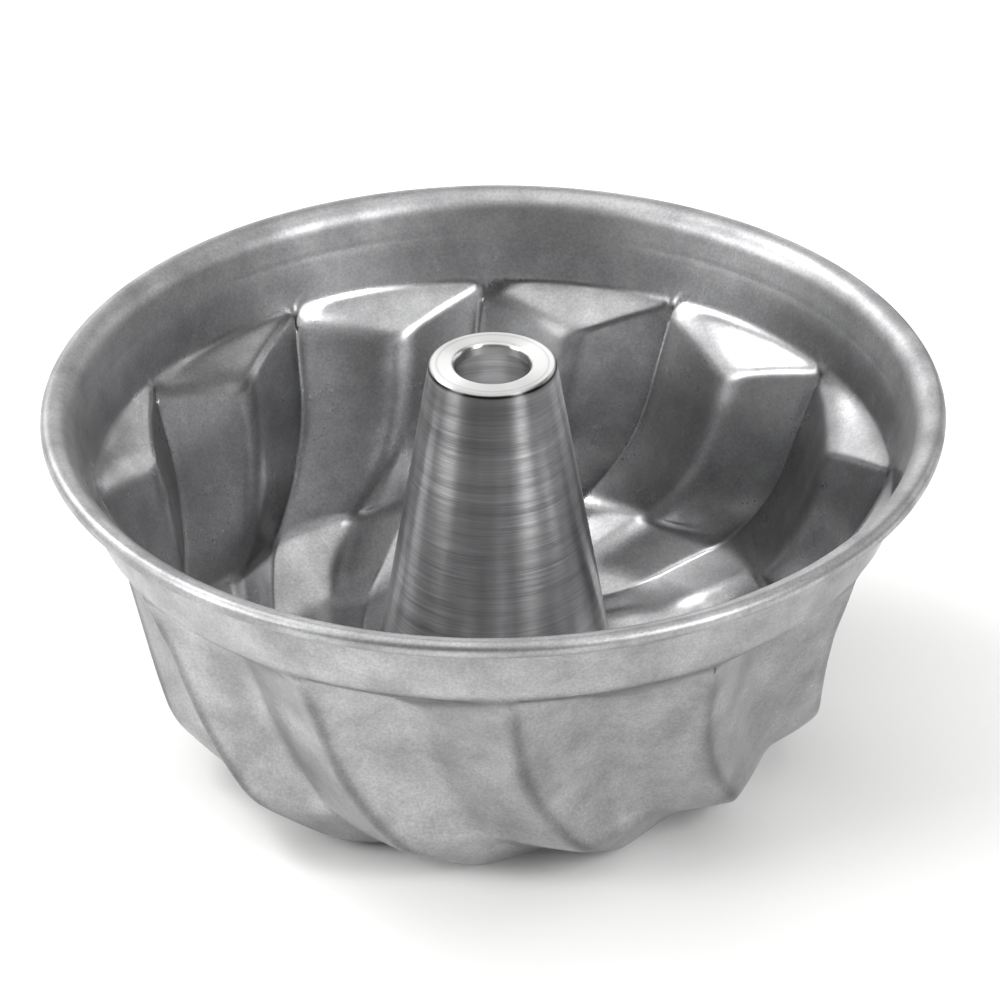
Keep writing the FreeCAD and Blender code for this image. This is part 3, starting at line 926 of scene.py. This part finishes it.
def make_camera(stage):
    lens = bpy.data.cameras.new("product_camera")
    lens.lens = stage.lens
    camera = bpy.data.objects.new("product_camera", lens)
    bpy.context.scene.collection.objects.link(camera)
    back = Vector((0, -math.cos(stage.elevation), math.sin(stage.elevation)))
    up = Vector((0, math.sin(stage.elevation), math.cos(stage.elevation)))
    place = RIM_CENTRE + back * stage.distance + up * stage.above + Vector((stage.aside, 0, 0))
    tilt = Matrix.Rotation(math.pi / 2 - stage.elevation, 4, "X")
    camera.matrix_world = Matrix.Translation(place) @ tilt @ Matrix.Rotation(stage.roll, 4, "Z")
    bpy.context.scene.camera = camera


# ---- Add-on

class CAKEPAN_OT_shell(bpy.types.Operator):
    """Make the pressed shell with its flutes, collar and rolled rim"""
    bl_idname = "cake_pan.shell"
    bl_label = "Pressed Shell"

    def execute(self, context):
        scene = context.scene
        make_pressed_shell(scene.cake_pan_shell, scene.cake_pan_tube, scene.cake_pan_finish)
        return {"FINISHED"}


class CAKEPAN_OT_tube(bpy.types.Operator):
    """Make the spun centre tube"""
    bl_idname = "cake_pan.tube"
    bl_label = "Spun Tube"

    def execute(self, context):
        scene = context.scene
        make_spun_tube(scene.cake_pan_shell, scene.cake_pan_tube, scene.cake_pan_finish)
        return {"FINISHED"}


class CAKEPAN_OT_wire(bpy.types.Operator):
    """Give the wire inside the rolled rim its finish"""
    bl_idname = "cake_pan.wire"
    bl_label = "Rim Wire"

    def execute(self, context):
        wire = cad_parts["rim_wire"]
        wire.data.materials.clear()
        wire.data.materials.append(zinced_wire(context.scene.cake_pan_finish))
        return {"FINISHED"}


class CAKEPAN_OT_stage(bpy.types.Operator):
    """Make the floor, the studio light and the camera"""
    bl_idname = "cake_pan.stage"
    bl_label = "Studio Stage"

    def execute(self, context):
        stage = context.scene.cake_pan_stage
        make_floor(stage)
        for name, values in SOFTBOXES.items():
            make_softbox(name, *values)
        make_surround(stage)
        make_camera(stage)
        context.scene.view_settings.view_transform = "Standard"
        return {"FINISHED"}


class CAKEPAN_PT_panel(bpy.types.Panel):
    """The cake pan's pieces and their sizes"""
    bl_idname = "CAKEPAN_PT_panel"
    bl_label = "Fluted Ring Cake Pan"
    bl_space_type = "VIEW_3D"
    bl_region_type = "UI"
    bl_category = "Cake Pan"

    def draw(self, context):
        scene = context.scene
        for group in (getattr(scene, name) for name in GROUPS):
            box = self.layout.box()
            for name in group.__annotations__:
                box.prop(group, name)
        for operator in OPERATORS:
            self.layout.operator(operator.bl_idname)


OPERATORS = (CAKEPAN_OT_shell, CAKEPAN_OT_tube, CAKEPAN_OT_wire, CAKEPAN_OT_stage)
GROUPS = {
    "cake_pan_shell": CakePanShell,
    "cake_pan_tube": CakePanTube,
    "cake_pan_finish": CakePanFinish,
    "cake_pan_stage": CakePanStage,
}


def register():
    for group in GROUPS.values():
        bpy.utils.register_class(group)
    for operator in OPERATORS:
        bpy.utils.register_class(operator)
    bpy.utils.register_class(CAKEPAN_PT_panel)
    for name, group in GROUPS.items():
        setattr(bpy.types.Scene, name, PointerProperty(type=group))


def unregister():
    for name in GROUPS:
        delattr(bpy.types.Scene, name)
    bpy.utils.unregister_class(CAKEPAN_PT_panel)
    for operator in OPERATORS:
        bpy.utils.unregister_class(operator)
    for group in GROUPS.values():
        bpy.utils.unregister_class(group)


def main():
    register()
    bpy.ops.cake_pan.shell()
    bpy.ops.cake_pan.tube()
    bpy.ops.cake_pan.wire()
    bpy.ops.cake_pan.stage()


if __name__ == "__main__":
    main()
